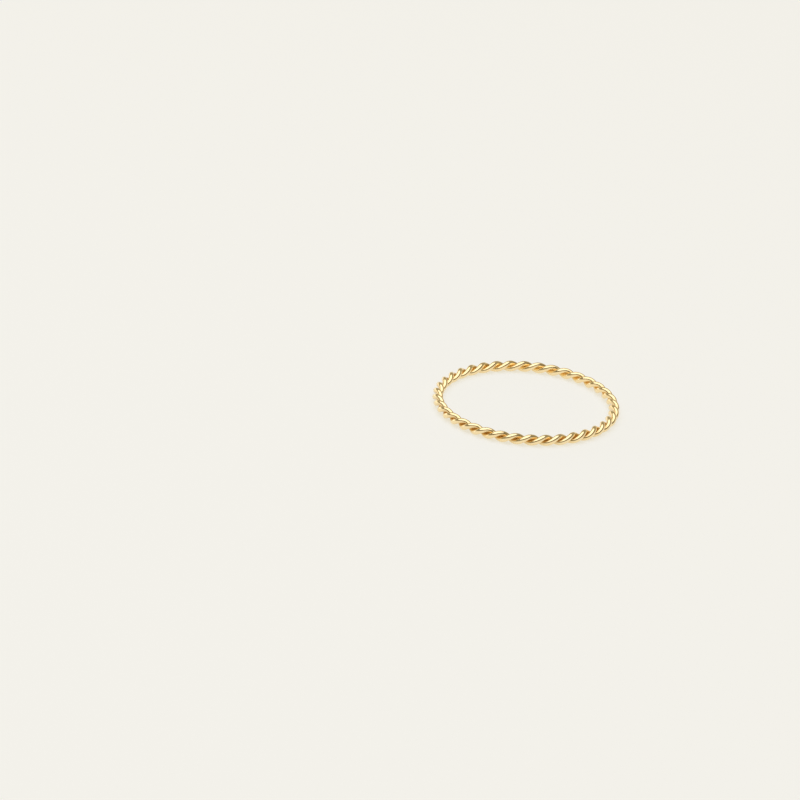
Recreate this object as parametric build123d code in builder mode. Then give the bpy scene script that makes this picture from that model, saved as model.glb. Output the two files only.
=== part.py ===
from build123d import *

import os
from math import atan, cos, pi, radians, sin

# Stackable twisted ring: two round gold wires wound about each other, closed into a band and soldered.
#
# Frame: millimetres, +Z up. The ring lies on its side on Z = 0 and the finger goes through it along Z.
# The origin is the middle of the finger hole, on the surface that the ring rests on.
#
# The twist is left-handed. Each wire closes on itself after a whole number of turns. The wires press into
# each other a little all the way round, so the band is one solid with a deep crevice between its strands.

# Driving dimensions
finger_diameter = 17.3  # clear hole between the inner crests of the band, US ring size 7
wire_diameter = 0.6  # each of the two wires
wire_spacing = 0.56  # between the middles of the two wires, a little under their diameter
twists = 19  # full turns that each wire makes round the band
guide_steps = 16  # stretches that the guide of one twist is drawn in

# Worked out from them
wire_radius = wire_diameter / 2
strand_offset = wire_spacing / 2  # from the middle of the band to the middle of a wire
band_thickness = wire_spacing + wire_diameter  # crest to crest
core_radius = (finger_diameter + band_thickness) / 2  # circle along the middle of the band
core_height = band_thickness / 2
twist_angle = 360 / twists  # part of the ring that one full turn takes up
lay_angle = atan(twists * strand_offset / core_radius)  # slope of a wire against the band's direction


def strand_point(ring_angle):
    """The middle of the first wire at an angle in degrees round the ring."""
    wire_turn = twists * radians(ring_angle)
    reach = core_radius + strand_offset * cos(wire_turn)
    return (
        reach * cos(radians(ring_angle)),
        reach * sin(radians(ring_angle)),
        core_height + strand_offset * sin(wire_turn),
    )


# One full twist: the section through both wires follows the middle of the band, and the guide turns it
with BuildPart() as twist:
    with BuildLine(Plane.XY.offset(core_height)) as core:
        CenterArc((0, 0), core_radius, 0, twist_angle)
    with BuildLine() as guide:
        Spline([strand_point(twist_angle * step / guide_steps) for step in range(guide_steps + 1)])
    with BuildSketch(Plane(origin=(core_radius, 0, core_height), x_dir=(1, 0, 0), z_dir=(0, 1, 0))):
        with Locations((-strand_offset, 0), (strand_offset, 0)):
            # a round wire that leans by the lay angle, cut square across the band
            Ellipse(wire_radius, wire_radius / cos(lay_angle))
    sweep(path=core.wire(), binormal=guide.wire())

# The closed band: the same twist all the way round
with BuildPart() as twisted_band:
    with PolarLocations(0, twists):
        add(twist.part)
twisted_band.part.label = "twisted_band"

os.makedirs("parts", exist_ok=True)
export_step(twisted_band.part, "parts/twisted_band.step")

wire_length = 2 * pi * core_radius / cos(lay_angle)
print(f"band {band_thickness:.2f} mm thick, {2 * core_radius + band_thickness:.2f} mm across")
print(f"each wire {wire_length:.1f} mm long, volume {twisted_band.part.volume:.2f} mm3")
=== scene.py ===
from math import atan, cos, pi, radians

import bpy
from mathutils import Matrix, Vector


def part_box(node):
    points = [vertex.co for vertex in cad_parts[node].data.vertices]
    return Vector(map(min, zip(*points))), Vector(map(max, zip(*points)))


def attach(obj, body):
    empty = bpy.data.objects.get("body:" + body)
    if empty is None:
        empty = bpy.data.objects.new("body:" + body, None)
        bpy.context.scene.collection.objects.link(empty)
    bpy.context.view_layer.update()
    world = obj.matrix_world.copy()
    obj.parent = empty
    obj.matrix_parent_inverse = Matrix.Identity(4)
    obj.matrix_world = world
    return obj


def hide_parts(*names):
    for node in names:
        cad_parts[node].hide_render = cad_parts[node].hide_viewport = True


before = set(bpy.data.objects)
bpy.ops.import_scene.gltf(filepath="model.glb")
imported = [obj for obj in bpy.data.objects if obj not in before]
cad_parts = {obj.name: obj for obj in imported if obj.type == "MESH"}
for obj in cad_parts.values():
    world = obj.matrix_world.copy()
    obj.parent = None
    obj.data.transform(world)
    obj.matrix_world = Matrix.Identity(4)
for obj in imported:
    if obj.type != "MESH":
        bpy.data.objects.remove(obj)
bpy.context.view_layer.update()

# A ring of two gold wires twisted together, lying on a pale table. Metres, +Z up, finger hole along Z.


def editMode(selectMode):               # every point, edge or face is then selected
    bpy.ops.object.mode_set(mode='EDIT')
    bpy.ops.mesh.select_mode(type=selectMode)
    bpy.ops.mesh.select_all(action='SELECT')


def objectMode():
    bpy.ops.object.mode_set(mode='OBJECT')


def selectPoints(piece, wanted):        # leaves only the wanted points selected, in edit mode
    editMode('VERT')
    bpy.ops.mesh.select_all(action='DESELECT')
    objectMode()
    for point in piece.data.vertices:
        point.select = wanted(point.co)
    bpy.ops.object.mode_set(mode='EDIT')


def selectEdges(piece, wanted):         # the same for edges, where both ends have to be wanted
    editMode('EDGE')
    bpy.ops.mesh.select_all(action='DESELECT')
    objectMode()
    for edge in piece.data.edges:
        edge.select = all(wanted(piece.data.vertices[end].co) for end in edge.vertices)
    bpy.ops.object.mode_set(mode='EDIT')


def addModifier(piece, kind, **settings):
    modifier = piece.modifiers.new(kind.lower(), kind)
    for name, value in settings.items():
        setattr(modifier, name, value)
    bpy.ops.object.modifier_apply(modifier=modifier.name)


def addNode(tree, kind, inputs, **settings):    # an input is another node's output, or a plain value
    node = tree.nodes.new("ShaderNode" + kind)
    for name, value in settings.items():
        setattr(node, name, value)
    feed(tree, node, inputs)
    return node


def feed(tree, node, inputs):
    for name, value in inputs.items():
        if isinstance(value, bpy.types.NodeSocket):
            tree.links.new(value, node.inputs[name])
        else:
            node.inputs[name].default_value = value


def calculate(tree, operation, *values):
    return addNode(tree, "Math", dict(enumerate(values)), operation=operation).outputs[0]


def rescale(tree, value, start, end, first, last):      # start becomes first, end becomes last
    node = addNode(tree, "MapRange", {"Value": value, "From Min": start, "From Max": end,
                                      "To Min": first, "To Max": last}, interpolation_type='SMOOTHSTEP')
    return node.outputs["Result"]


def noise(tree, place, scale, detail, turn=None):       # turn is the fourth coordinate, for a closed loop
    inputs = {"Vector": place, "Scale": scale, "Detail": detail}
    if turn is None:
        return addNode(tree, "TexNoise", inputs).outputs["Fac"]
    return addNode(tree, "TexNoise", inputs | {"W": turn}, noise_dimensions='4D').outputs["Fac"]


def mixColours(tree, factor, first, second):
    node = addNode(tree, "Mix", {0: factor, 6: first, 7: second}, data_type='RGBA')
    return node.outputs[2]


def newMaterial(name):
    material = bpy.data.materials.new(name)
    material.use_nodes = True
    return material, material.node_tree, material.node_tree.nodes["Principled BSDF"]


band = {
    "turns": 19,                # full turns that each wire makes round the band
    "pressIn": 0.012e-3,        # how far the wires are pressed into each other
    "wirePoints": 40,           # points round one wire
    "turnSteps": 40,            # sections in one full turn
    "creviceReach": 0.02e-3,    # height of the crevice's walls that its rounding takes up
    "creviceRounding": 0.025e-3,
    "creviceSteps": 3,
    "unevenness": 0.014e-3,     # how much the wires give way to hammer, tongs and polishing
    "unevenSize": 0.9e-3,
    "seamGap": 1e-6,            # where the two ends meet, points this close become one
}
tiny = 1e-8                     # under this, two points are the same one

low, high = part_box("twisted_band")
thickness = high.z - low.z                                  # over both wires, crest to crest
wireRadius = (thickness + band["pressIn"]) / 4
wireOffset = thickness / 2 - wireRadius                     # middle of the band to the middle of a wire
coreRadius = (high.x - low.x) / 2 - thickness / 2           # circle along the middle of the band
coreHeight = (low.z + high.z) / 2
layAngle = atan(band["turns"] * wireOffset / coreRadius)    # slope of a wire against the band


def outlineOfTwoWires():                # a section across the band, round the X axis
    bpy.ops.object.select_all(action='DESELECT')
    bpy.ops.mesh.primitive_circle_add(vertices=band["wirePoints"], radius=wireRadius, fill_type='NGON',
                                      location=(0, 0, wireOffset), rotation=(0, pi / 2, 0))
    piece = bpy.context.object
    piece.name = piece.data.name = "twisted_gold_band"
    bpy.ops.object.transform_apply(location=True, rotation=True, scale=True)
    editMode('VERT')
    bpy.ops.transform.resize(value=(1, 1 / cos(layAngle), 1))               # a leaning wire, cut square
    bpy.ops.mesh.bisect(plane_co=(0, 0, 0), plane_no=(0, 0, 1), clear_inner=True, threshold=tiny)
    editMode('VERT')
    bpy.ops.mesh.duplicate()
    bpy.ops.transform.rotate(value=pi, orient_axis='X', center_override=(0, 0, 0))
    editMode('VERT')
    bpy.ops.mesh.remove_doubles(threshold=tiny)
    selectEdges(piece, lambda p: abs(p.z) < tiny)
    bpy.ops.mesh.dissolve_edges(use_verts=False)                            # the two halves become one face
    selectPoints(piece, lambda p: tiny < abs(p.z) < band["creviceReach"] and abs(p.y) < wireRadius)
    bpy.ops.mesh.dissolve_verts()
    selectPoints(piece, lambda p: abs(p.z) < tiny)
    bpy.ops.mesh.bevel(affect='VERTICES', offset=band["creviceRounding"], segments=band["creviceSteps"])
    editMode('FACE')
    bpy.ops.mesh.delete(type='ONLY_FACE')
    objectMode()
    return piece


ring = outlineOfTwoWires()
print("outline of the two wires:", len(ring.data.vertices), "points")

addModifier(ring, 'SCREW', axis='X', angle=-2 * pi, iterations=band["turns"], steps=band["turnSteps"],
            render_steps=band["turnSteps"], screw_offset=2 * pi * coreRadius / band["turns"])
addModifier(ring, 'SIMPLE_DEFORM', deform_method='BEND', deform_axis='Z', angle=2 * pi)
editMode('VERT')
bpy.ops.transform.translate(value=(0, -coreRadius, coreHeight))
bpy.ops.mesh.remove_doubles(threshold=band["seamGap"])
bpy.ops.mesh.normals_make_consistent(inside=False)
objectMode()
handWork = bpy.data.textures.new("hand_work", 'CLOUDS')
handWork.noise_scale = band["unevenSize"]
addModifier(ring, 'DISPLACE', texture=handWork, strength=band["unevenness"], mid_level=1)    # only inwards
bpy.ops.object.shade_smooth()
print("twisted and closed:", len(ring.data.polygons), "faces")


gold = {
    "colour": (1.0, 0.80, 0.47, 1),
    "paleColour": (1.0, 0.82, 0.50, 1),         # where the colour drifts a little
    # painted shade and a browner film in the crevices
    "creviceFilmAndShadeColour": (0.69, 0.44, 0.15, 1),
    "innerCreviceShadeColour": (1.0, 0.77, 0.40, 1), # the crevices' painted shade is lighter on the inside of the ring
    "innerSide": 0.3e-3,                        # from the middle of the band to where that is fully so
    "creviceDepth": 0.12e-3,                    # from the middle of the band to the bottom of a crevice
    "creviceEdge": 0.52e-3,                     # and to where it ends
    "driftSize": 1.6e-3,
    "driftRange": (0.35, 0.65),                 # the part of its noise over which a pattern comes in
    "roughness": 0.06,
    "creviceRoughness": 0.22,
    "drawLineLength": 0.9e-3,                   # faint lines that drawing the wire left along it
    "drawLineWidth": 0.03e-3,
    "drawLineHeight": 0.5e-6,
    "drawLineRoughness": 0.09,
    "drawLineRange": (0.4, 0.7),
    "waveLength": 0.5e-3,                       # soft unevenness of a hand-twisted, tumbled wire
    "waveHeight": 4e-6,
    "rubSize": 0.12e-3,                         # patches rubbed a little duller
    "rubRoughness": 0.09,
    "rubRange": (0.45, 0.7),
}


def goldCoordinates(tree):      # a point's place in the band's section, still and turning with the wires
    place = addNode(tree, "TexCoord", {}).outputs["Object"]
    parts = addNode(tree, "SeparateXYZ", {0: place}).outputs
    angle = calculate(tree, 'ARCTAN2', parts["Y"], parts["X"])
    squares = [calculate(tree, 'POWER', parts[axis], 2) for axis in "XY"]
    radius = calculate(tree, 'SQRT', calculate(tree, 'ADD', *squares))
    reach = calculate(tree, 'SUBTRACT', radius, coreRadius)
    height = calculate(tree, 'SUBTRACT', parts["Z"], coreHeight)
    section = addNode(tree, "CombineXYZ", {"X": reach, "Y": height}).outputs[0]
    twist = calculate(tree, 'MULTIPLY', angle, -band["turns"])
    turn = addNode(tree, "VectorRotate", {"Vector": section, "Angle": twist}, rotation_type='Z_AXIS')
    return place, section, turn.outputs[0], angle


def goldFinish():
    material, tree, shader = newMaterial("polished_gold")
    place, section, turned, angle = goldCoordinates(tree)
    depth = addNode(tree, "VectorMath", {0: section}, operation='LENGTH').outputs["Value"]
    crest = rescale(tree, depth, gold["creviceDepth"], gold["creviceEdge"], 0, 1)       # 0 in a crevice, where painted shade and a browner film darken the colour

    drift = noise(tree, place, 1 / gold["driftSize"], detail=2)
    body = mixColours(tree, rescale(tree, drift, *gold["driftRange"], 0, 1), gold["colour"], gold["paleColour"])
    reach = addNode(tree, "SeparateXYZ", {0: section}).outputs["X"]
    outside = rescale(tree, reach, -gold["innerSide"], gold["innerSide"], 0, 1)
    # painted shade in the crevices, lighter on the inside of the ring than on the outside
    crevice = mixColours(tree, outside, gold["innerCreviceShadeColour"], gold["creviceFilmAndShadeColour"])
    colour = mixColours(tree, crest, crevice, body)

    along = coreRadius / gold["drawLineLength"]
    lineParts = addNode(tree, "SeparateXYZ", {0: turned}).outputs
    linePlace = addNode(tree, "CombineXYZ", {
        "X": calculate(tree, 'DIVIDE', lineParts["X"], gold["drawLineWidth"]),
        "Y": calculate(tree, 'DIVIDE', lineParts["Y"], gold["drawLineWidth"]),
        "Z": calculate(tree, 'MULTIPLY', calculate(tree, 'COSINE', angle), along)}).outputs[0]
    lines = noise(tree, linePlace, 1, detail=2,
                  turn=calculate(tree, 'MULTIPLY', calculate(tree, 'SINE', angle), along))

    rub = noise(tree, place, 1 / gold["rubSize"], detail=4)
    rubDullness = rescale(tree, rub, *gold["rubRange"], 0, gold["rubRoughness"])
    lineDullness = rescale(tree, lines, *gold["drawLineRange"], 0, gold["drawLineRoughness"])
    bare = calculate(tree, 'ADD', gold["roughness"], calculate(tree, 'ADD', rubDullness, lineDullness))
    film = gold["creviceRoughness"] - gold["roughness"]
    filmDullness = rescale(tree, depth, gold["creviceDepth"], gold["creviceEdge"], film, 0)
    roughness = calculate(tree, 'ADD', bare, filmDullness)

    wave = noise(tree, place, 1 / gold["waveLength"], detail=1)
    waves = addNode(tree, "Bump", {"Height": wave, "Distance": gold["waveHeight"], "Strength": 1})
    ridges = addNode(tree, "Bump", {"Height": lines, "Distance": gold["drawLineHeight"], "Strength": 1,
                                    "Normal": waves.outputs[0]})
    feed(tree, shader, {"Base Color": colour, "Metallic": 1, "Roughness": roughness,
                        "Normal": ridges.outputs[0]})
    return material


ring.data.materials.clear()
ring.data.materials.append(goldFinish())
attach(ring, "root")
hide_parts("twisted_band")
# the crevices' darker colour is painted shade as well as a browner film
print("gold: polished, with a browner film in the crevices and faint drawing lines")


table = {
    "width": 6.0,
    "colour": (0.22, 0.27, 0.38, 1),
    "glowColour": (1.0, 0.93, 0.77, 1),         # warm, so that shadows on the paper are too
    "glow": 0.71,               # paleness that only the camera and the gold's reflections see
    "grainSize": 0.35e-3,
    "grainHeight": 4e-6,
    "roughness": 0.9,
    "specular": 0.1,
}


def tablePaper():
    material, tree, shader = newMaterial("pale_paper")
    place = addNode(tree, "TexCoord", {}).outputs["Object"]
    rays = addNode(tree, "LightPath", {}).outputs
    seen = calculate(tree, 'MAXIMUM', rays["Is Camera Ray"],
                     calculate(tree, 'MAXIMUM', rays["Is Glossy Ray"], rays["Is Transmission Ray"]))
    fibres = noise(tree, place, 1 / table["grainSize"], detail=3)
    grain = addNode(tree, "Bump", {"Height": fibres, "Distance": table["grainHeight"], "Strength": 1})
    feed(tree, shader, {"Base Color": table["colour"], "Roughness": table["roughness"],
                        "Specular IOR Level": table["specular"], "Emission Color": table["glowColour"],
                        "Emission Strength": calculate(tree, 'MULTIPLY', seen, table["glow"]),
                        "Normal": grain.outputs[0]})
    return material


bpy.ops.object.select_all(action='DESELECT')
bpy.ops.mesh.primitive_plane_add(size=table["width"], location=(0, 0, low.z))
floor = bpy.context.object
floor.name = "table"
floor.data.materials.append(tablePaper())
print("table: pale paper")


lights = {      # metres, X to the right, Y to the back, aimed at the ring; level is how bright its face looks
    "overhead_softbox": {"level": 1.22, "width": 1.05, "height": 1.05, "place": (-0.06, -0.04, 0.6)},
    "left_card": {"level": 0.55, "width": 1.1, "height": 0.34, "place": (-0.72, 0.58, 0.18)},
}


def addLight(name, level, width, height, place):
    data = bpy.data.lights.new(name, 'AREA')
    data.shape = 'ELLIPSE' if width == height else 'RECTANGLE'
    data.size = width
    data.size_y = height
    area = width * height * (pi / 4 if width == height else 1)
    data.energy = level * pi * area
    lamp = bpy.data.objects.new(name, data)
    bpy.context.scene.collection.objects.link(lamp)
    lamp.location = place
    lamp.rotation_euler = (-lamp.location).to_track_quat('-Z', 'Y').to_euler()


for name, light in lights.items():
    addLight(name, **light)

room = {        # brightness of the room round the ring, which the gold reflects
    "horizon": 0.82,
    "walls": 0.37,
    "frontWalls": 0.18,         # towards the camera
    "horizonColour": (1.0, 0.945, 0.83, 1),
    "wallColour": (1.0, 0.88, 0.60, 1),
    "wallsFrom": 0.10,          # height is 0 at the horizon and 1 overhead
    "wallsFull": 0.32,
    "sideWalls": 0.6,           # how far to front and back the two kinds of walls blend, 1 is straight ahead
}


def studioRoom():
    world = bpy.data.worlds.new("studio")
    bpy.context.scene.world = world
    world.use_nodes = True
    tree = world.node_tree
    direction = addNode(tree, "TexCoord", {}).outputs["Generated"]
    parts = addNode(tree, "SeparateXYZ", {0: direction}).outputs
    side = room["sideWalls"]
    walls = rescale(tree, parts["Y"], -side, side, room["frontWalls"], room["walls"])
    height = rescale(tree, parts["Z"], room["wallsFrom"], room["wallsFull"], 0, 1)
    level = addNode(tree, "Mix", {0: height, 2: room["horizon"], 3: walls}, data_type='FLOAT').outputs[0]
    colour = mixColours(tree, height, room["horizonColour"], room["wallColour"])
    feed(tree, tree.nodes["Background"], {"Color": colour, "Strength": level})


studioRoom()
print("light: softbox overhead, card at the left, pale horizon")


view = {
    "distance": 0.4176,
    "elevation": 24.45,
    "azimuth": -2.42,
    "roll": 4.6,
    "lens": 180,
    "sensor": 36,
    "nearest": 0.01,
    "ringRight": 0.013146,      # metres from the middle of the view
    "ringDown": 0.000242,
}

cameraData = bpy.data.cameras.new("camera")
cameraData.lens = view["lens"]
cameraData.sensor_width = view["sensor"]
cameraData.clip_start = view["nearest"]
camera = bpy.data.objects.new("camera", cameraData)
bpy.context.scene.collection.objects.link(camera)
turn = (Matrix.Rotation(radians(view["azimuth"]), 4, 'Z')
        @ Matrix.Rotation(radians(90 - view["elevation"]), 4, 'X')
        @ Matrix.Rotation(radians(view["roll"]), 4, 'Z'))
camera.matrix_world = (Matrix.Translation((0, 0, coreHeight)) @ turn
                       @ Matrix.Translation((-view["ringRight"], view["ringDown"], view["distance"])))
bpy.context.scene.camera = camera
bpy.context.scene.view_settings.view_transform = 'Standard'
